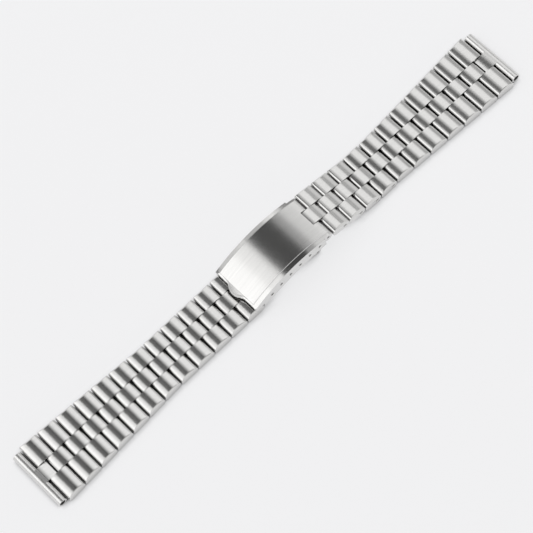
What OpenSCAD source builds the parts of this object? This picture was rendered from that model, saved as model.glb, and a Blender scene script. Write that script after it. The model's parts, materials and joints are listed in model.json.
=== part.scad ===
// Steel watch bracelet with a folding clasp, laid out closed on a table.
// X runs along the bracelet, Y across it and Z up. The near side is -Y.
// The origin is under the middle of the laid out length, on the table.

/* [Links] */
// Distance from one outer link to the next along the strand
pitch = 6.0; // [5.6:0.1:6.6]
// Gap between the ends of neighbouring links
link_gap = 0.35; // [0.3:0.05:0.5]
// Radius of the top edge at a link's ends
corner_r = 0.85; // [0.8:0.05:1.2]
// Rise of a link's crowned top above its ends
crown = 0.3; // [0.15:0.05:0.4]
// Width of the centre links
centre_w = 4.6; // [4:0.1:5.4]
// Gap between a centre link and the outer link beside it
side_gap = 0.1; // [0.05:0.01:0.2]
// Leg of the chamfer along the outboard top edge of the outer links
edge_chamfer = 0.5; // [0.2:0.05:0.8]

/* [Strands] */
// Width of both strands beside the clasp
strand_w = 15; // [14:0.1:15.2]
// Width of the link pair next to an end piece
end_pair_w = 19.4; // [17:0.1:21]
// Width lost from one link pair to the next
taper_step = 0.72; // [0.4:0.02:1.2]
// Outer link pairs in the left strand, under the lip of the clasp
left_pairs = 12; // [9:1:12]
// Outer link pairs in the right strand, at the adjustable end of the clasp
right_pairs = 11; // [9:1:12]
// Hinges over which the right strand comes down from the clasp
falling_hinges = 7; // [4:1:9]
// Steepness of the right strand beside the clasp
fall_angle = 13.5; // [8:0.5:16]
// Right link pairs whose pins can be pushed out from the near side
removable_pairs = 4; // [0:1:6]

/* [Pins] */
// Diameter of the pins in the links and in the clasp hinges
pin_d = 1.0; // [0.8:0.05:1.2]
// Radial clearance of a pin where it is held
held_fit = 0.01; // [0.01:0.005:0.02]
// Radial clearance of a pin where a piece turns on it
running_fit = 0.04; // [0.02:0.01:0.08]
// Cover of steel over the blind end of a pin bore
blind_wall = 1.1; // [0.8:0.1:2]

/* [End pieces] */
// Width between the lugs of the watch case
lug_w = 18; // [16:0.5:20]
// Diameter of the rolled tube between the lugs
tube_d = 2.5; // [2.3:0.1:2.7]
// Bore of the tube for the spring bar of the watch case
tube_bore = 1.8; // [1.5:0.1:1.9]
// Distance from the tube's axis to the first link pin
tongue_reach = 3.1; // [2.9:0.1:3.6]
// Lap of the sheet on the inner side of the tube
tube_lap = 0.2; // [0.1:0.05:0.25]
// Thickness of the foot left flat under the lap
foot_t = 0.3; // [0.2:0.05:0.4]
// Radius of the crown that runs from the tube over its tongue
tongue_r = 11; // [8:0.5:16]
// Lean of that crown where it leaves the tube, away from the links
tongue_lean = 2; // [0:0.5:5]

/* [Clasp cover] */
// Width of the cover over its side walls
cover_w = 15.4; // [15.2:0.1:17]
// Sheet thickness of the cover and its walls
cover_t = 0.8; // [0.6:0.05:1]
// Radius of the arched top of the cover
cover_r = 31.9; // [30:0.1:36]
// Distance from the last left pin to the crest of the arch
crest_x = 14.6; // [13:0.1:16]
// Distance from the last left pin to the clasp's spring bar
clasp_reach = 25.8; // [25:0.1:28]
// Width of the polished shoulder along each long edge
shoulder_w = 1.3; // [0.8:0.1:2]
// Drop of the shoulder at its outer edge
shoulder_drop = 0.5; // [0.3:0.05:0.7]
// Height of the step round the brushed panel
panel_step = 0.16; // [0.1:0.02:0.24]
// Width of the polished rim between that step and the lip
rim_w = 0.45; // [0.3:0.05:0.8]
// Overhang of the lip's corners past the last left pin
lip_corner = 1.4; // [1:0.1:1.8]
// Further overhang of the rounded tab in the middle of the lip
lip_tab = 1.2; // [0.6:0.1:1.6]
// Radius of the rounded tab
lip_r = 4; // [3:0.1:5]
// Radius of the fillets beside the tab
lip_fillet = 2; // [1:0.1:3]
// Radius of the rolled end over the spring bar
roll_r = 1.45; // [1.4:0.05:1.6]
// Distance that the rolled end is set in from each side
roll_inset = 0.5; // [0.2:0.05:0.6]

/* [Adjusting holes] */
// Adjusting holes in each side wall, in a row that starts at the cover hinge
hole_count = 5; // [3:1:5]
// Distance from one hole to the next
hole_pitch = 3.55; // [3.3:0.05:3.7]
// Diameter of the adjusting holes
hole_d = 0.9; // [0.8:0.05:1]
// Radius of the curve that the row follows
row_r = 55; // [45:1:70]
// Distance from the last left pin to the highest point of the row
row_crest_x = 18.8; // [17:0.1:20]
// Depth of the side walls below the row of holes
wall_drop = 1.9; // [1.4:0.1:2.2]

/* [Clasp blades] */
// Thickness of the two folding blades
blade_t = 0.7; // [0.5:0.05:0.8]
// Gap between the folded blades
blade_gap = 0.1; // [0.06:0.02:0.16]
// Gap between the blades and the side walls of the cover
blade_side_gap = 0.4; // [0.3:0.05:0.8]
// Bend radius of the folded blades
blade_r = 26; // [24:0.5:34]
// Distance from the last left pin to the cover hinge
cover_hinge_x = 4.7; // [4.4:0.1:5]
// Height of the cover hinge above the table
cover_hinge_z = 4.6; // [4.4:0.1:4.9]
// Radius of the knuckle at the cover hinge
cover_knuckle_r = 1.0; // [0.85:0.05:1.1]
// Distance from the last left pin to the hinge between the blades
blade_hinge_x = 22.1; // [21:0.1:23]
// Radius of the knuckles at the hinge between the blades
blade_knuckle_r = 1.15; // [1:0.05:1.2]
// Half width of the middle knuckle between the blades
blade_knuckle_half = 2.9; // [2:0.1:4]
// Length of the window in the middle blade
window_l = 9; // [6:0.5:11]
// Width of the window in the middle blade
window_w = 4.4; // [3:0.2:6]
// Rise of the stud that stands from the inner blade into the window
stud_rise = 0.5; // [0.3:0.05:0.6]

/* [Hidden] */
$fn = 48;
arc_fn = 180;
past = 1;

hinge = pitch / 2;
end_r = (hinge - link_gap) / 2;
axis_z = end_r;
link_top = end_r + crown;
corner = end_r - corner_r;
corner_x = hinge / 2 + corner;
crown_dip = (pow(corner_x, 2) + pow(corner, 2) - pow(corner + crown, 2)) / (2 * crown);
crown_r = link_top + crown_dip;
turning_r = corner * sqrt(2) + corner_r;
pin_r = pin_d / 2;
held_r = pin_r + held_fit;
running_r = pin_r + running_fit;
plate_in = centre_w / 2 + side_gap;
pin_half = strand_w / 2 - blind_wall - 0.1;
open_pin_half = strand_w / 2 - 0.4;
taper_angle = atan(taper_step / 2 / pitch);

tube_r = tube_d / 2;
foot_past = 0.12;

left_end_pin = 2 * left_pairs - 1;
right_end_pin = 2 * right_pairs;
flat_pins = right_end_pin - falling_hinges;
left_run = tongue_reach + left_end_pin * hinge;
right_run = tongue_reach + run(right_end_pin);
total_l = 2 * tube_r + left_run + clasp_reach + right_run;
left_x = tube_r - total_l / 2;
right_x = total_l / 2 - tube_r;
clasp_x = left_x + left_run;

bar_x = clasp_reach;
bar_z = axis_z + lift(right_end_pin);
arch_z = bar_z - sqrt(pow(cover_r - roll_r, 2) - pow(bar_x - crest_x, 2));
arch = [crest_x, arch_z];
bar = [bar_x, bar_z];
cover_half = cover_w / 2;
inner_half = cover_half - cover_t;
panel_half = cover_half - shoulder_w;
roll_half = cover_half - roll_inset;
to_bar = (bar - arch) / norm(bar - arch);
lip_clear = 0.3;
wall_x = end_r + lip_clear;
wall_over_link = axis_z + link_top + lip_clear;
notch_half = centre_w / 2 + 0.15;
notch_gap = 0.12;
notch_x = 0.67;
barrel_r = 0.6;
tip_r = hole_d / 2 - 0.04;
barrel_half = inner_half - 0.5;
sky = 20;

blade_half = inner_half - blade_side_gap;
blade_hinge_z = blade_knuckle_r + 0.05;
cover_hinge = [cover_hinge_x, cover_hinge_z];
row = [row_crest_x, cover_hinge_z - sqrt(pow(row_r, 2) - pow(cover_hinge_x - row_crest_x, 2))];
blade_hinge = [blade_hinge_x, blade_hinge_z];
fold_left = [cover_hinge_x, cover_hinge_z - cover_knuckle_r - 0.35];
fold = arc_centre(fold_left, blade_hinge, blade_r);
swing_gap = 0.15;
window_x = cover_hinge_x + 7.7;
stud_l = window_l - 2.4;
stud_w = window_w - 1.6;

left_outer_names = [for (k = [1 : left_pairs]) str("outer_links_left_", two_digits(k))];
left_centre_names = [for (k = [1 : left_pairs - 1]) str("centre_link_left_", two_digits(k))];
right_outer_names = [for (k = [1 : right_pairs]) str("outer_links_right_", two_digits(k))];
right_centre_names = [for (k = [1 : right_pairs]) str("centre_link_right_", two_digits(k))];

function two_digits(k) = k < 10 ? str("0", k) : str(k);

// Centre of the arc of radius r that passes over the points a and b
function arc_centre(a, b, r) =
    let (m = (a + b) / 2, d = b - a, h = sqrt(r * r - d * d / 4))
    m - h * [-d[1], d[0]] / norm(d);

// Points along an arc between two angles, in n steps
function arc_points(centre, r, from, to, n) =
    [for (i = [0 : n]) centre + r * [cos(from + (to - from) * i / n), sin(from + (to - from) * i / n)]];

// Length along the table, and height above the first pin, of a strand's pin number j.
// Pins count from the end piece, and the falling stretch starts at flat_pins.
function run(j) = hinge * (min(j, flat_pins)
    + (j > flat_pins ? cos(fall_angle / 2) : 0)
    + max(j - flat_pins - 1, 0) * cos(fall_angle));
function lift(j) = hinge * ((j > flat_pins ? sin(fall_angle / 2) : 0)
    + max(j - flat_pins - 1, 0) * sin(fall_angle));
function slope(j) = j < flat_pins ? 0 : j == flat_pins ? fall_angle / 2 : fall_angle;

// Half the width of link pair k, counted from the end piece
function pair_half(k) = max(strand_w, end_pair_w - taper_step * (k - 1)) / 2;
function pair_tapers(k) = end_pair_w - taper_step * (k - 1) > strand_w;

// Place number i in the row of holes, where number 0 is the cover hinge
function row_point(i) =
    let (a = asin((cover_hinge_x - row_crest_x) / row_r) + i * hole_pitch / row_r * 180 / PI)
    row + row_r * [sin(a), cos(a)];

// A side view drawn in x and z, given the width from y0 to y1
module slab(y0, y1) {
    translate([0, y1, 0])
        rotate([90, 0, 0])
            linear_extrude(y1 - y0)
                children();
}

// A bar along Y from y0 to y1 at the side view point p
module rod(p, r, y0, y1) {
    translate([p[0], y1, p[1]])
        rotate([90, 0, 0])
            cylinder(r = r, h = y1 - y0);
}

// Side view of every link: round about the pins below, upright ends and a crowned top
module link_side() {
    over = 1.2 * crown_r / (crown_r - corner_r);
    for (s = [-1, 1]) {
        translate([s * hinge / 2, 0])
            circle(r = end_r);
        translate([s * corner_x, corner])
            circle(r = corner_r);
    }
    translate([-corner_x - corner_r, 0])
        square([2 * (corner_x + corner_r), corner]);
    translate([0, -crown_dip])
        intersection() {
            circle(r = crown_r, $fn = arc_fn);
            polygon([
                [-hinge / 2, crown_dip - end_r], [hinge / 2, crown_dip - end_r],
                [corner_x, crown_dip + corner], [corner_x, crown_dip + corner] * over,
                [-corner_x, crown_dip + corner] * over, [-corner_x, crown_dip + corner]
            ]);
        }
}

// Centre link with a bore at each end, given their radii
module centre_link(bores) {
    difference() {
        slab(-centre_w / 2, centre_w / 2) link_side();
        for (s = [0, 1])
            rod([(s - 0.5) * hinge, 0], bores[s], -centre_w, centre_w);
    }
}

// The far link of a pair. The bores at its two pins reach out to the y values in bores.
module outer_plate(half, turn, bores) {
    difference() {
        slab(plate_in, half + past) link_side();
        translate([0, half, 0])
            rotate([0, 0, -turn])
                translate([-pitch, 0, -pitch])
                    cube([2 * pitch, 3 * past, 2 * pitch]);
        translate([0, half, link_top])
            rotate([0, 0, -turn])
                rotate([45, 0, 0])
                    cube([2 * pitch, edge_chamfer * sqrt(2), edge_chamfer * sqrt(2)], center = true);
        for (s = [0, 1])
            rod([(s - 0.5) * hinge, 0], held_r, 0, bores[s]);
    }
}

// Link pair k with the two pins that it holds, about the middle of the pair
module outer_pair(k, removable) {
    half = pair_half(k);
    turn = pair_tapers(k) ? taper_angle : 0;
    blind = pin_half + 0.1;
    outer_plate(half, turn, [blind, blind]);
    mirror([0, 1, 0])
        outer_plate(half, turn, [removable ? half + 2 * past : blind, blind]);
    rod([-hinge / 2, 0], pin_r, removable ? -open_pin_half : -pin_half, pin_half);
    rod([hinge / 2, 0], pin_r, -pin_half, pin_half);
}

// Puts a link between pins j and j + 1 of a strand that starts at its end piece
module at_pins(j, falls) {
    x = falls ? (run(j) + run(j + 1)) / 2 : (j + 0.5) * hinge;
    z = falls ? (lift(j) + lift(j + 1)) / 2 : 0;
    translate([tongue_reach + x, 0, axis_z + z])
        rotate([0, falls ? -slope(j) : 0, 0])
            children();
}

module left_strand() {
    translate([left_x, 0, 0]) children();
}

module right_strand() {
    translate([right_x, 0, 0])
        mirror([1, 0, 0])
            children();
}

module outer_links_left(k) {
    color("silver") left_strand() at_pins(2 * k - 2, false) outer_pair(k, false);
}

module centre_link_left(k) {
    color("gainsboro") left_strand() at_pins(2 * k - 1, false) centre_link([running_r, running_r]);
}

module outer_links_right(k) {
    color("silver")
        right_strand()
            at_pins(2 * k - 2, true)
                outer_pair(k, k > right_pairs - removable_pairs);
}

module centre_link_right(k) {
    clasp_bore = k == right_pairs ? barrel_r + running_fit : running_r;
    color("gainsboro") right_strand() at_pins(2 * k - 1, true) centre_link([running_r, clasp_bore]);
}

// Rolled tube for the lug spring bar, its flat foot, and the tongue to the first pin
module end_piece() {
    tube = [0, axis_z];
    pin = [tongue_reach, axis_z];
    difference() {
        union() {
            for (lap = [0, tube_lap])
                rod([lap, axis_z], tube_r, -lug_w / 2, lug_w / 2);
            translate([0, -lug_w / 2, axis_z - tube_r])
                cube([tube_lap, lug_w, tube_d]);
            translate([0, -lug_w / 2, axis_z - tube_r])
                cube([tube_r + tube_lap + foot_past, lug_w, foot_t]);
            translate([0, 0, axis_z])
                slab(-centre_w / 2, centre_w / 2)
                    tongue_side();
        }
        rod(tube, tube_bore / 2, -lug_w, lug_w);
        rod(pin, running_r, -centre_w, centre_w);
    }
}

// Side view of the tongue: its crown starts flush with the tube and ends round about the pin
module tongue_side() {
    sink = 0.02;
    leaving = [-sin(tongue_lean), cos(tongue_lean)];
    intersection() {
        translate((tube_r - tongue_r - sink) * leaving)
            circle(r = tongue_r, $fn = arc_fn);
        union() {
            translate([tongue_reach, 0])
                circle(r = end_r);
            polygon([
                [0, sink - tube_r], [tongue_reach, sink - end_r], [tongue_reach, 2 * tube_r],
                2 * tube_r * leaving, [0, 0]
            ]);
        }
    }
}

module end_piece_left() {
    color("silver") left_strand() end_piece();
}

module end_piece_right() {
    color("silver") right_strand() end_piece();
}

module in_clasp() {
    translate([clasp_x, 0, 0]) children();
}

// Side view of the cover: arched top, side walls down to the lower edge, rolled end
module cover_side() {
    difference() {
        intersection() {
            translate(arch)
                circle(r = cover_r, $fn = arc_fn);
            polygon([
                [-3 * lip_corner, wall_over_link], [wall_x, wall_over_link],
                [wall_x, 0], [bar_x - roll_r, 0], [bar_x - roll_r * 0.8, bar_z - roll_r * 0.6], bar,
                bar + sky * to_bar, [-3 * lip_corner, sky]
            ]);
        }
        translate(row)
            circle(r = row_r - wall_drop, $fn = arc_fn);
    }
    translate(bar)
        circle(r = roll_r);
}

// Side view of the space under the sheet of the cover, up to the rolled end
module cover_inside() {
    difference() {
        intersection() {
            translate(arch)
                circle(r = cover_r - cover_t, $fn = arc_fn);
            polygon([
                [-4 * lip_corner, -past], [bar_x, -past], bar,
                bar + sky * to_bar, [-4 * lip_corner, sky]
            ]);
        }
        translate(bar)
            circle(r = roll_r);
    }
}

// Outline of the cover from above: straight end with a rounded tab and two fillets
module cover_plan(inset = 0) {
    tab = [lip_r - lip_corner - lip_tab, 0];
    fillet_x = -lip_corner - lip_fillet;
    fillet_y = sqrt(pow(lip_r + lip_fillet, 2) - pow(tab[0] - fillet_x, 2));
    lean = atan2(fillet_y, tab[0] - fillet_x);
    polygon(concat(
        [[clasp_reach + sky, -cover_w], [inset - lip_corner, -cover_w]],
        arc_points([fillet_x, -fillet_y], lip_fillet + inset, 0, lean, 5),
        arc_points(tab, lip_r - inset, 180 + lean, 180 - lean, 14),
        arc_points([fillet_x, fillet_y], lip_fillet + inset, -lean, 0, 5),
        [[inset - lip_corner, cover_w], [clasp_reach + sky, cover_w]]
    ));
}

// Ring that cuts the step and the shoulder along the far long edge of the arched top
module shoulder_ring() {
    foot = [cover_r - panel_step, panel_half + panel_step / 2];
    edge = [cover_r - shoulder_drop, cover_half];
    translate([arch[0], 0, arch[1]])
        rotate([-90, 0, 0])
            rotate_extrude($fn = arc_fn)
                polygon([
                    foot, foot + 2 * (edge - foot), [cover_r + past, cover_half + past],
                    foot + 6 * [panel_step, -panel_step / 2]
                ]);
}

// Band along the lip, outside the raised panel, down to the depth of its step
module lip_band() {
    intersection() {
        slab(-cover_half, cover_half)
            translate(arch)
                difference() {
                    circle(r = cover_r + past, $fn = arc_fn);
                    circle(r = cover_r - panel_step, $fn = arc_fn);
                }
        linear_extrude(sky)
            difference() {
                translate([-3 * lip_corner, -cover_half])
                    square([5 * lip_corner, cover_w]);
                cover_plan(rim_w);
            }
    }
}

module clasp_cover() {
    color("whitesmoke") in_clasp() difference() {
        intersection() {
            slab(-cover_half, cover_half) cover_side();
            linear_extrude(sky) cover_plan();
        }
        slab(-inner_half, inner_half) cover_inside();
        shoulder_ring();
        mirror([0, 1, 0]) shoulder_ring();
        lip_band();
        for (s = [0, 1])
            mirror([0, s, 0])
                translate([bar_x - 0.9 * roll_r, roll_half, 0])
                    cube([sky, sky, sky]);
        translate([bar_x - notch_x, -notch_half, 0])
            cube([sky, 2 * notch_half, sky]);
        rod(bar, turning_r + notch_gap, -notch_half, notch_half);
        rod(bar, barrel_r + running_fit, -inner_half, inner_half);
        rod(bar, hole_d / 2, -cover_w, cover_w);
        for (i = [1 : hole_count])
            rod(row_point(i), hole_d / 2, -cover_w, cover_w);
        rod(cover_hinge, held_r, -cover_w, cover_w);
    }
}

// Side view of a strip of the folded blades between two radii and two x values
module blade_strip(low, high, x0, x1) {
    intersection() {
        translate(fold)
            difference() {
                circle(r = high, $fn = arc_fn);
                circle(r = low, $fn = arc_fn);
            }
        translate([x0, -past])
            square([x1 - x0, sky]);
    }
}

// Slot with round ends from above, on the middle line of the clasp
module slot(x, l, w) {
    translate([x, 0])
        square([l - w, w], center = true);
    for (s = [-1, 1])
        translate([x + s * (l - w) / 2, 0])
            circle(r = w / 2);
}

module middle_blade() {
    low = blade_r + blade_gap / 2;
    color("lightgray") in_clasp() difference() {
        union() {
            slab(-blade_half, blade_half)
                blade_strip(low, low + blade_t, cover_hinge_x, blade_hinge_x);
            rod(cover_hinge, cover_knuckle_r, -blade_half, blade_half);
            rod(blade_hinge, blade_knuckle_r, -blade_knuckle_half, blade_knuckle_half);
        }
        for (s = [0, 1])
            mirror([0, s, 0])
                rod(blade_hinge, blade_knuckle_r + swing_gap, blade_knuckle_half, cover_half);
        linear_extrude(sky) slot(window_x, window_l, window_w);
        rod(cover_hinge, running_r, -cover_w, cover_w);
        rod(blade_hinge, running_r, -cover_w, cover_w);
    }
}

module inner_blade() {
    high = blade_r - blade_gap / 2;
    notch = blade_knuckle_half + 0.1;
    color("lightgray") in_clasp() difference() {
        union() {
            slab(-blade_half, blade_half)
                blade_strip(high - blade_t, high, end_r + swing_gap, blade_hinge_x);
            slab(-centre_w / 2, centre_w / 2)
                blade_strip(high - blade_t, high, end_r / 2, 2 * end_r);
            rod([0, axis_z], end_r, -centre_w / 2, centre_w / 2);
            for (s = [0, 1])
                mirror([0, s, 0])
                    rod(blade_hinge, blade_knuckle_r, notch, blade_half);
            intersection() {
                slab(-blade_half, blade_half)
                    blade_strip(high - blade_t, high + stud_rise, 0, blade_hinge_x);
                linear_extrude(sky) slot(window_x, stud_l, stud_w);
            }
        }
        rod(blade_hinge, blade_knuckle_r + swing_gap, -notch, notch);
        rod([0, axis_z], running_r, -cover_w, cover_w);
        rod(blade_hinge, held_r, -cover_w, cover_w);
    }
}

module cover_hinge_pin() {
    color("darkgray") in_clasp() rod(cover_hinge, pin_r, -cover_half + 0.1, cover_half - 0.1);
}

module blade_hinge_pin() {
    color("darkgray") in_clasp() rod(blade_hinge, pin_r, -blade_half + 0.1, blade_half - 0.1);
}

// Barrel and the two sprung tips that stand out of it into the side walls
module clasp_spring_bar() {
    tip_in = barrel_half - 2;
    color("darkgray") in_clasp() {
        difference() {
            rod(bar, barrel_r, -barrel_half, barrel_half);
            for (s = [0, 1])
                mirror([0, s, 0])
                    rod(bar, tip_r + held_fit, tip_in - 0.1, cover_w);
        }
        for (s = [0, 1])
            mirror([0, s, 0])
                rod(bar, tip_r, tip_in, roll_half - 0.1);
    }
}

end_piece_left();
end_piece_right();
clasp_cover();
middle_blade();
inner_blade();
cover_hinge_pin();
blade_hinge_pin();
clasp_spring_bar();
for (k = [1 : left_pairs])
    outer_links_left(k);
for (k = [1 : left_pairs - 1])
    centre_link_left(k);
for (k = [1 : right_pairs])
    outer_links_right(k);
for (k = [1 : right_pairs])
    centre_link_right(k);
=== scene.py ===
# %% [markdown]
# A steel watch bracelet lies closed on a pale table. Every link, pin and
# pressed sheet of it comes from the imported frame, with its true shape and
# its joints. This lesson gives those pieces the finish of the real ones:
# soft edges, brushed tops, polished bevels, and the light of a small studio.

# %% Load the bracelet
import math
import bpy
from mathutils import Matrix, Vector
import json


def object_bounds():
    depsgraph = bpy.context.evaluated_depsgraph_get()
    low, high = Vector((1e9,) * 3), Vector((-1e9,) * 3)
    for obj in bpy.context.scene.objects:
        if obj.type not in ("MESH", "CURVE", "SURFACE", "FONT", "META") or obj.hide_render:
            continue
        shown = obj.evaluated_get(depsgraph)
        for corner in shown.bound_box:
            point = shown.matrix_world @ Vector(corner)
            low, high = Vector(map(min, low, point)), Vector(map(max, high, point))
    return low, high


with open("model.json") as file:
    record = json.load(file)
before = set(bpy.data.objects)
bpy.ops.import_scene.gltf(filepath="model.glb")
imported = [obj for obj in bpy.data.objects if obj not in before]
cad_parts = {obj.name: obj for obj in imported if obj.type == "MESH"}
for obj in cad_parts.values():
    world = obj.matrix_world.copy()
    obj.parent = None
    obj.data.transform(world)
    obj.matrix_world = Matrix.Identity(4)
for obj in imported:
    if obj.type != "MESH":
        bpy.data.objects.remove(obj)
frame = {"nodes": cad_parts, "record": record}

MM = 0.001
cad_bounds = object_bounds()
steel_pieces = frame["nodes"]

# %% [markdown]
# The camera stands above the near side of the left strand and looks down at
# the middle. Its place was worked out from the rows of link pins in the
# photograph, which converge a little, as they do through a long lens.

# %% Set up the camera
IMAGE_SIDE = 533
FOCAL_PIXELS = 2600
camera_place = Vector((-134.767, -235.250, 632.040)) * MM
camera_right = Vector((0.71755694, -0.68847312, -0.10543618))
camera_up = Vector((0.66885779, 0.63891434, 0.38002334))
camera_back = Vector((-0.19427117, -0.34321020, 0.91894803))

lens = bpy.data.cameras.new("studio camera")
lens.sensor_width = 36
lens.lens = FOCAL_PIXELS * lens.sensor_width / IMAGE_SIDE
lens.clip_start = 0.05
lens.clip_end = 20
camera = bpy.data.objects.new("studio camera", lens)
turn = Matrix((camera_right, camera_up, camera_back)).transposed()
camera.matrix_world = Matrix.Translation(camera_place) @ turn.to_4x4()
bpy.context.scene.collection.objects.link(camera)
bpy.context.scene.camera = camera
print("the lens is", round(lens.lens, 1), "mm long")

# %% [markdown]
# A shader group is a small machine with named inputs and outputs. The
# helpers below make one and join its nodes, so that each later effect is
# written in a few lines. Two of them are for steps that come back often: to
# stretch one range of values to another, and to tell how far a surface leans
# over towards Y.


# %% Helpers for materials
def new_group(name, inputs, outputs):
    group = bpy.data.node_groups.new(name, "ShaderNodeTree")
    for label, kind, value in inputs:
        socket = group.interface.new_socket(label, in_out="INPUT", socket_type=kind)
        if value is not None:
            socket.default_value = value
    for label, kind in outputs:
        group.interface.new_socket(label, in_out="OUTPUT", socket_type=kind)
    return group


def add_node(tree, kind, values=None, **settings):
    node = tree.nodes.new(kind)
    for key, value in settings.items():
        setattr(node, key, value)
    for key, value in (values or {}).items():
        if isinstance(value, bpy.types.NodeSocket):
            tree.links.new(value, node.inputs[key])
        else:
            node.inputs[key].default_value = value
    return node


def maths(tree, operation, first, second=None, third=None, clamp=False):
    values = {0: first}
    if second is not None:
        values[1] = second
    if third is not None:
        values[2] = third
    node = add_node(tree, "ShaderNodeMath", values, operation=operation, use_clamp=clamp)
    return node.outputs[0]


def remap(tree, value, from_low, from_high, to_low=0.0, to_high=1.0):
    values = {0: value, 1: from_low, 2: from_high, 3: to_low, 4: to_high}
    return add_node(tree, "ShaderNodeMapRange", values).outputs[0]


def sideways_lean(tree):
    slope = add_node(tree, "ShaderNodeNewGeometry").outputs["True Normal"]
    slope_parts = add_node(tree, "ShaderNodeSeparateXYZ", {0: slope})
    return maths(tree, "ABSOLUTE", slope_parts.outputs[1])


# %% [markdown]
# Brushing is done with an abrasive belt that runs along the bracelet. It
# leaves fine lines along X that break off at random. Noise that is
# stretched far along X and packed tightly across it gives such lines. Only
# side walls count the height as well: on an arched top it would bend them.

# %% Brushed lines
WALL_LEAN = 0.8
STREAK_SCALE = 0.22


def make_brushed_lines():
    group = new_group(
        "brushed lines",
        [("Line width", "NodeSocketFloat", 0.00006), ("Line length", "NodeSocketFloat", 0.004)],
        [("Height", "NodeSocketFloat"), ("Streaks", "NodeSocketFloat")],
    )
    given = add_node(group, "NodeGroupInput")
    place = add_node(group, "ShaderNodeTexCoord").outputs["Object"]
    parts = add_node(group, "ShaderNodeSeparateXYZ", {0: place})
    along = maths(group, "DIVIDE", parts.outputs[0], given.outputs["Line length"])
    across = maths(group, "DIVIDE", parts.outputs[1], given.outputs["Line width"])
    on_wall = maths(group, "GREATER_THAN", sideways_lean(group), WALL_LEAN)
    wall_height = maths(group, "MULTIPLY", parts.outputs[2], on_wall)
    up = maths(group, "DIVIDE", wall_height, given.outputs["Line width"])
    stretched = add_node(group, "ShaderNodeCombineXYZ", {0: along, 1: across, 2: up}).outputs[0]
    fine = add_node(group, "ShaderNodeTexNoise", {"Vector": stretched, "Scale": 1.0, "Detail": 2.0})
    broad_look = {"Vector": stretched, "Scale": STREAK_SCALE, "Detail": 3.0}
    broad = add_node(group, "ShaderNodeTexNoise", broad_look)
    result = add_node(group, "NodeGroupOutput")
    group.links.new(fine.outputs["Fac"], result.inputs["Height"])
    group.links.new(broad.outputs["Fac"], result.inputs["Streaks"])
    return group


brushed_lines = make_brushed_lines()
print("made the shader group", brushed_lines.name)

# %% [markdown]
# The long edges are polished after the brushing: the chamfers of the outer
# links and the bevels of the clasp cover. What they share is that they lean
# over towards Y, so the slope of the surface tells where the polish is.

# %% Polished slopes
def make_polished_slopes():
    group = new_group(
        "polished slopes",
        [("Least lean", "NodeSocketFloat", 0.2), ("Most lean", "NodeSocketFloat", 0.9)],
        [("Polish", "NodeSocketFloat")],
    )
    given = add_node(group, "NodeGroupInput")
    sideways = sideways_lean(group)
    above = maths(group, "GREATER_THAN", sideways, given.outputs["Least lean"])
    below = maths(group, "LESS_THAN", sideways, given.outputs["Most lean"])
    result = add_node(group, "NodeGroupOutput")
    group.links.new(maths(group, "MULTIPLY", above, below), result.inputs["Polish"])
    return group


polished_slopes = make_polished_slopes()
print("made the shader group", polished_slopes.name)

# %% [markdown]
# The grey is darkened into a painted shade where shade falls: between two
# links, in a bore and at the foot of a pressed step. Such places have something
# close by on most sides, which the Ambient Occlusion node measures. What is
# only half closed in, such as the round of an edge, gets no painted shade and keeps its shine.

# %% Painted shade in gaps
def make_painted_gap_shade():
    group = new_group(
        "painted gap shade",
        [
            ("Reach", "NodeSocketFloat", 0.0006),
            ("Black below", "NodeSocketFloat", 0.3),
            ("Unshaded above", "NodeSocketFloat", 0.6),
        ],
        [("Unshaded share", "NodeSocketFloat")],
    )
    given = add_node(group, "NodeGroupInput")
    reach = given.outputs["Reach"]
    # Painted shade: how closed in a place is sets how dark its colour is painted.
    open_sky = add_node(group, "ShaderNodeAmbientOcclusion", {"Distance": reach}, samples=6)
    black, unshaded_from = given.outputs["Black below"], given.outputs["Unshaded above"]
    unshaded_share = remap(group, open_sky.outputs["AO"], black, unshaded_from)
    result = add_node(group, "NodeGroupOutput")
    group.links.new(unshaded_share, result.inputs["Unshaded share"])
    return group


painted_gap_shade = make_painted_gap_shade()
print("made the shader group", painted_gap_shade.name)

# %% [markdown]
# Steel that has been handled has faint smudges. They don't change its
# colour much, only how sharply it reflects, so a broad noise moves the
# roughness and tones the grey by a hair.

# %% Smudges
def make_smudges():
    group = new_group(
        "smudges",
        [("Size", "NodeSocketFloat", 0.006), ("Strength", "NodeSocketFloat", 0.04)],
        [("Change", "NodeSocketFloat")],
    )
    given = add_node(group, "NodeGroupInput")
    place = add_node(group, "ShaderNodeTexCoord").outputs["Object"]
    scale = maths(group, "DIVIDE", 1.0, given.outputs["Size"])
    cloud = add_node(group, "ShaderNodeTexNoise", {"Vector": place, "Scale": scale, "Detail": 4.0})
    centred = maths(group, "SUBTRACT", cloud.outputs["Fac"], 0.5)
    change = maths(group, "MULTIPLY", centred, given.outputs["Strength"])
    result = add_node(group, "NodeGroupOutput")
    group.links.new(change, result.inputs["Change"])
    return group


smudges = make_smudges()
print("made the shader group", smudges.name)

# %% [markdown]
# The end pieces' rolled tubes are blasted matt, so they spread the light into
# one broad band, while the tongues next to them are brushed like the links.
# The tubes are what lies farthest out along X.

# %% Matt tubes
def make_matt_tubes():
    group = new_group(
        "matt tubes",
        [("Starts at", "NodeSocketFloat", 0.1)],
        [("Matt", "NodeSocketFloat")],
    )
    given = add_node(group, "NodeGroupInput")
    place = add_node(group, "ShaderNodeTexCoord").outputs["Object"]
    along = add_node(group, "ShaderNodeSeparateXYZ", {0: place}).outputs[0]
    outward = maths(group, "ABSOLUTE", along)
    is_tube = maths(group, "GREATER_THAN", outward, given.outputs["Starts at"])
    result = add_node(group, "NodeGroupOutput")
    group.links.new(is_tube, result.inputs["Matt"])
    return group


matt_tubes = make_matt_tubes()
print("made the shader group", matt_tubes.name)
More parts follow.
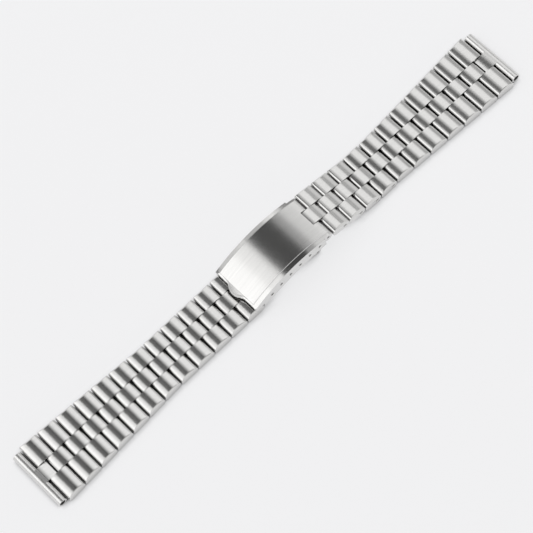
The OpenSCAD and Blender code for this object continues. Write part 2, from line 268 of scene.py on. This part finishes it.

# %% [markdown]
# Each kind of steel piece has the same recipe with its own values: how grey
# it is, how rough it is where it is brushed and where it is polished, and how
# deep and how wide the brushed lines are, in millimetres. The last two say
# how open a place is where its painted shade is black and where it has none,
# and how far round it that is measured, in millimetres.


# %% The recipe for steel
GAP_SHADE_TONE = 0.06
EXTRA_ROUGH = 0.14
TUBE_DIAMETER = 2.5
POLISHED_LEAN = (0.2, 0.9)
STREAK_NOISE = (0.3, 0.7)
STREAK_TONES = (0.965, 1.025)


def make_steel(
    name, grey, brushed_rough, polished_rough, line_depth,
    line_width=0.06, shade_range=(0.3, 0.65), reach=0.6,
):
    steel = bpy.data.materials.new(name)
    steel.use_nodes = True
    tree = steel.node_tree
    shader = tree.nodes["Principled BSDF"]
    shader.inputs["Metallic"].default_value = 1.0
    widths = {"Line width": line_width * MM}
    lines = add_node(tree, "ShaderNodeGroup", widths, node_tree=brushed_lines)
    leans = {"Least lean": POLISHED_LEAN[0], "Most lean": POLISHED_LEAN[1]}
    slopes = add_node(tree, "ShaderNodeGroup", leans, node_tree=polished_slopes)
    shade_settings = {"Reach": reach * MM, "Black below": shade_range[0], "Unshaded above": shade_range[1]}
    gaps = add_node(tree, "ShaderNodeGroup", shade_settings, node_tree=painted_gap_shade)
    marks = add_node(tree, "ShaderNodeGroup", node_tree=smudges)
    tube_start = {"Starts at": cad_bounds[1][0] - TUBE_DIAMETER * MM}
    tubes = add_node(tree, "ShaderNodeGroup", tube_start, node_tree=matt_tubes)

    tone = remap(tree, lines.outputs["Streaks"], *STREAK_NOISE, *STREAK_TONES)
    tone = maths(tree, "ADD", tone, marks.outputs["Change"])
    # Painted shade: the grey is darkened where the Ambient Occlusion node finds a gap, a bore or
    # the foot of a step.
    gap_shade = remap(tree, gaps.outputs["Unshaded share"], 0.0, 1.0, GAP_SHADE_TONE, 1.0)
    tone = maths(tree, "MULTIPLY", tone, gap_shade)
    colour = add_node(tree, "ShaderNodeMix", data_type="RGBA", blend_type="MULTIPLY")
    colour.inputs["Factor"].default_value = 1.0
    colour.inputs["A"].default_value = (*grey, 1)
    tree.links.new(tone, colour.inputs["B"])
    tree.links.new(colour.outputs["Result"], shader.inputs["Base Color"])

    polish = slopes.outputs["Polish"]
    rough = remap(tree, polish, 0.0, 1.0, brushed_rough, polished_rough)
    rough = maths(tree, "ADD", rough, marks.outputs["Change"])
    rough = maths(tree, "MULTIPLY_ADD", tubes.outputs["Matt"], EXTRA_ROUGH, rough, clamp=True)
    tree.links.new(rough, shader.inputs["Roughness"])

    unpolished = maths(tree, "SUBTRACT", 1.0, polish)
    grooves = {
        "Strength": unpolished,
        "Height": lines.outputs["Height"],
        "Distance": line_depth * MM,
    }
    bump = add_node(tree, "ShaderNodeBump", grooves)
    tree.links.new(bump.outputs["Normal"], shader.inputs["Normal"])
    return steel


BELT_GREY = (0.72, 0.715, 0.705)
END_GREY = (0.76, 0.755, 0.745)
BLADE_GREY = (0.66, 0.655, 0.645)
PIN_GREY = (0.6, 0.6, 0.595)
steels = {
    "outer_link_steel": make_steel("brushed outer links", BELT_GREY, 0.17, 0.1, 0.0025),
    "centre_link_steel": make_steel("brushed centre links", BELT_GREY, 0.17, 0.1, 0.0025),
    "end_piece_steel": make_steel("satin end pieces", END_GREY, 0.16, 0.14, 0.0025),
    "cover_steel": make_steel(
        "brushed clasp cover", BELT_GREY, 0.2, 0.15, 0.003,
        line_width=0.09, shade_range=(0.3, 0.97), reach=0.35,
    ),
    "blade_steel": make_steel("pressed blades", BLADE_GREY, 0.25, 0.15, 0.003),
    "pin_steel": make_steel("drawn pins", PIN_GREY, 0.25, 0.2, 0.002),
}
for part in frame["record"]["subparts"]:
    piece = steel_pieces[part["node"]]
    piece.data.materials.clear()
    piece.data.materials.append(steels[part["material_slot"]])
print("made", len(steels), "kinds of steel")

# %% [markdown]
# A machined link has no knife edges: tumbling rounds each one by a few
# hundredths of a millimetre, and that thin round catches the light. The
# pieces come as loose triangles, so they are welded first. A narrow bevel
# then does what the tumbling does, and weighted normals keep the large faces
# true, so that a reflection runs straight across them.

# %% Soft edges
EDGE_ROUND = 0.07
BEND_LIMIT = 32
WELD_REACH = 0.0005
for piece in steel_pieces.values():
    mesh = piece.data
    stored_normals = mesh.attributes.get("custom_normal")
    if stored_normals:
        mesh.attributes.remove(stored_normals)
    mesh.polygons.foreach_set("use_smooth", [True] * len(mesh.polygons))
    weld = piece.modifiers.new("join triangles", "WELD")
    weld.merge_threshold = WELD_REACH * MM
    bevel = piece.modifiers.new("tumbled edges", "BEVEL")
    bevel.width = EDGE_ROUND * MM
    bevel.segments = 2
    bevel.limit_method = "ANGLE"
    bevel.angle_limit = math.radians(BEND_LIMIT)
    bevel.use_clamp_overlap = True
    normals = piece.modifiers.new("true large faces", "WEIGHTED_NORMAL")
    normals.mode = "FACE_AREA_WITH_ANGLE"
print("softened the edges of", len(steel_pieces), "pieces by", EDGE_ROUND, "mm")

# %% [markdown]
# The table is one pale matt sheet. It is wide enough to fill every view. The
# camera, and the steel that mirrors the table, see it mostly at its own pale
# colour, and it keeps enough of the real light to show the shadows. Where the
# bracelet closes it in, that pale colour fades into a painted shadow, or the
# table would shine up through every gap between the links.

# %% The table
import bmesh

TABLE_HALF_SIDE = 4.0
TABLE_DROP = 0.01
TABLE_GLOW = 0.75
SHADE_REACH = 4
FADED_BELOW = 0.15
FULL_ABOVE = 0.75
table_mesh = bpy.data.meshes.new("table")
sheet = bmesh.new()
bmesh.ops.create_grid(sheet, x_segments=1, y_segments=1, size=TABLE_HALF_SIDE)
bmesh.ops.translate(sheet, verts=sheet.verts, vec=(0, 0, -TABLE_DROP * MM))
sheet.to_mesh(table_mesh)
sheet.free()
table = bpy.data.objects.new("table", table_mesh)
bpy.context.scene.collection.objects.link(table)
print("cut a table", 2 * TABLE_HALF_SIDE, "m wide")

# %% [markdown]
# Its paper mixes two things. One is plain matt paper under the lamps. The
# other is a glow of its own pale colour, which only the camera and mirrored
# rays see, so it lights nothing else.

# %% The paper
paper = bpy.data.materials.new("pale paper")
paper.use_nodes = True
paper_tree = paper.node_tree
paper_shader = paper_tree.nodes["Principled BSDF"]
paper_shader.inputs["Base Color"].default_value = (0.89, 0.89, 0.9, 1)
paper_shader.inputs["Roughness"].default_value = 0.9
paper_shader.inputs["Specular IOR Level"].default_value = 0.1
reach = {"Distance": SHADE_REACH * MM}
# Painted shadow: the glow fades where the bracelet closes the table in, under it and below every
# gap.
open_sky = add_node(paper_tree, "ShaderNodeAmbientOcclusion", reach, samples=8)
glow_level = remap(paper_tree, open_sky.outputs["AO"], FADED_BELOW, FULL_ABOVE)
glow = {"Color": (0.965, 0.965, 0.975, 1), "Strength": glow_level}
paper_glow = add_node(paper_tree, "ShaderNodeEmission", glow)
ray = add_node(paper_tree, "ShaderNodeLightPath")
seen = maths(paper_tree, "MAXIMUM", ray.outputs["Is Camera Ray"], ray.outputs["Is Glossy Ray"])
seen = maths(paper_tree, "MAXIMUM", seen, ray.outputs["Is Transmission Ray"])
share = maths(paper_tree, "MULTIPLY", seen, TABLE_GLOW)
blend = add_node(paper_tree, "ShaderNodeMixShader", {0: share})
paper_tree.links.new(paper_shader.outputs[0], blend.inputs[1])
paper_tree.links.new(paper_glow.outputs[0], blend.inputs[2])
paper_tree.links.new(blend.outputs[0], paper_tree.nodes["Material Output"].inputs["Surface"])
table_mesh.materials.append(paper)
print("laid the paper on the table")

# %% [markdown]
# Bright steel shows its surroundings more than itself. The photograph has a
# large bright lamp on the left, a paler one on the right, and a dark gap
# between them that makes the band across every link. The left lamp is far
# away and its near edge is dimmer, so the bright side of each band fades.
# A lamp is given by its reach along X and along Y in millimetres, its height
# above the table and its brightness, where 1 shows as white in a mirror.

# %% Lamps
def hang_lamp(name, x_range, y_range, height, brightness, lit):
    lamp = bpy.data.lights.new(name, "AREA")
    lamp.shape = "RECTANGLE"
    lamp.size = (x_range[1] - x_range[0]) * MM
    lamp.size_y = (y_range[1] - y_range[0]) * MM
    lamp.energy = brightness * math.pi * lamp.size * lamp.size_y
    holder = bpy.data.objects.new(name, lamp)
    holder.location = Vector((sum(x_range) / 2, sum(y_range) / 2, height)) * MM
    bpy.context.scene.collection.objects.link(holder)
    holder.light_linking.receiver_collection = lit


def lit_group(name, things):
    group = bpy.data.collections.new(name)
    for thing in things:
        group.objects.link(thing)
    return group


cover = steel_pieces["clasp_cover"]
others = [piece for piece in steel_pieces.values() if piece != cover]
the_rest = lit_group("all but the cover", [table] + others)
cover_alone = lit_group("the cover", [cover])
LOW, HIGH = 600, 1500
DEEP, SHALLOW = (-900, 2000), (-400, 900)
hang_lamp("left lamp", (-2600, -620), DEEP, HIGH, 1.3, the_rest)
hang_lamp("left lamp's edge", (-620, -300), DEEP, HIGH, 0.95, the_rest)
hang_lamp("dim overhead lamp", (-300, 140), DEEP, HIGH, 0.07, the_rest)
hang_lamp("right lamp's edge", (100, 180), SHALLOW, LOW, 0.5, the_rest)
hang_lamp("right lamp", (180, 570), SHALLOW, LOW, 0.98, the_rest)
hang_lamp("right lamp's far edge", (570, 850), SHALLOW, LOW, 0.38, the_rest)

# %% [markdown]
# The cover is the one large face, and a photographer sets small cards round
# it. Its own lamps leave a wider dark middle and fade in two steps.

# %% Lamps for the cover
hang_lamp("left card lamp", (-2600, -700), DEEP, HIGH, 1.3, cover_alone)
hang_lamp("left card edge", (-700, -168), DEEP, HIGH, 1.05, cover_alone)
hang_lamp("right card edge", (290, 440), SHALLOW, LOW, 0.35, cover_alone)
hang_lamp("right card lamp", (440, 950), SHALLOW, LOW, 0.75, cover_alone)
hang_lamp("back card lamp", (-2000, 2000), (1500, 3600), HIGH, 0.5, cover_alone)

# %% [markdown]
# The room is dark overhead and pale at table height, but for the side behind
# the bracelet: a grey wall there gives low views something to mirror. The
# camera itself sees the room as pale as the table.

# %% The room
CEILING, PALE_WALL, GREY_WALL, SEEN_ROOM = 0.07, 0.85, 0.3, 0.88
GREY_WALL_SIDE = (0.3, 0.75)
WALL_TOP = (0.42, 0.62)
room = bpy.data.worlds.new("studio room")
bpy.context.scene.world = room
room.use_nodes = True
room_tree = room.node_tree
direction = add_node(room_tree, "ShaderNodeTexCoord").outputs["Generated"]
heading = add_node(room_tree, "ShaderNodeSeparateXYZ", {0: direction})
walls = remap(room_tree, heading.outputs[1], *GREY_WALL_SIDE, PALE_WALL, GREY_WALL)
level = remap(room_tree, heading.outputs[2], *WALL_TOP, walls, CEILING)
room_ray = add_node(room_tree, "ShaderNodeLightPath")
seen = maths(room_tree, "MULTIPLY", room_ray.outputs["Is Camera Ray"], SEEN_ROOM)
level = maths(room_tree, "MAXIMUM", level, seen)
room_tree.links.new(level, room_tree.nodes["Background"].inputs["Color"])
print("built the room:", CEILING, "overhead,", PALE_WALL, "round the sides,", GREY_WALL, "behind")

# %% [markdown]
# Views stay in the plain Standard transform, so a grey renders as written.

# %% Finish
import json

bpy.context.scene.view_settings.view_transform = "Standard"
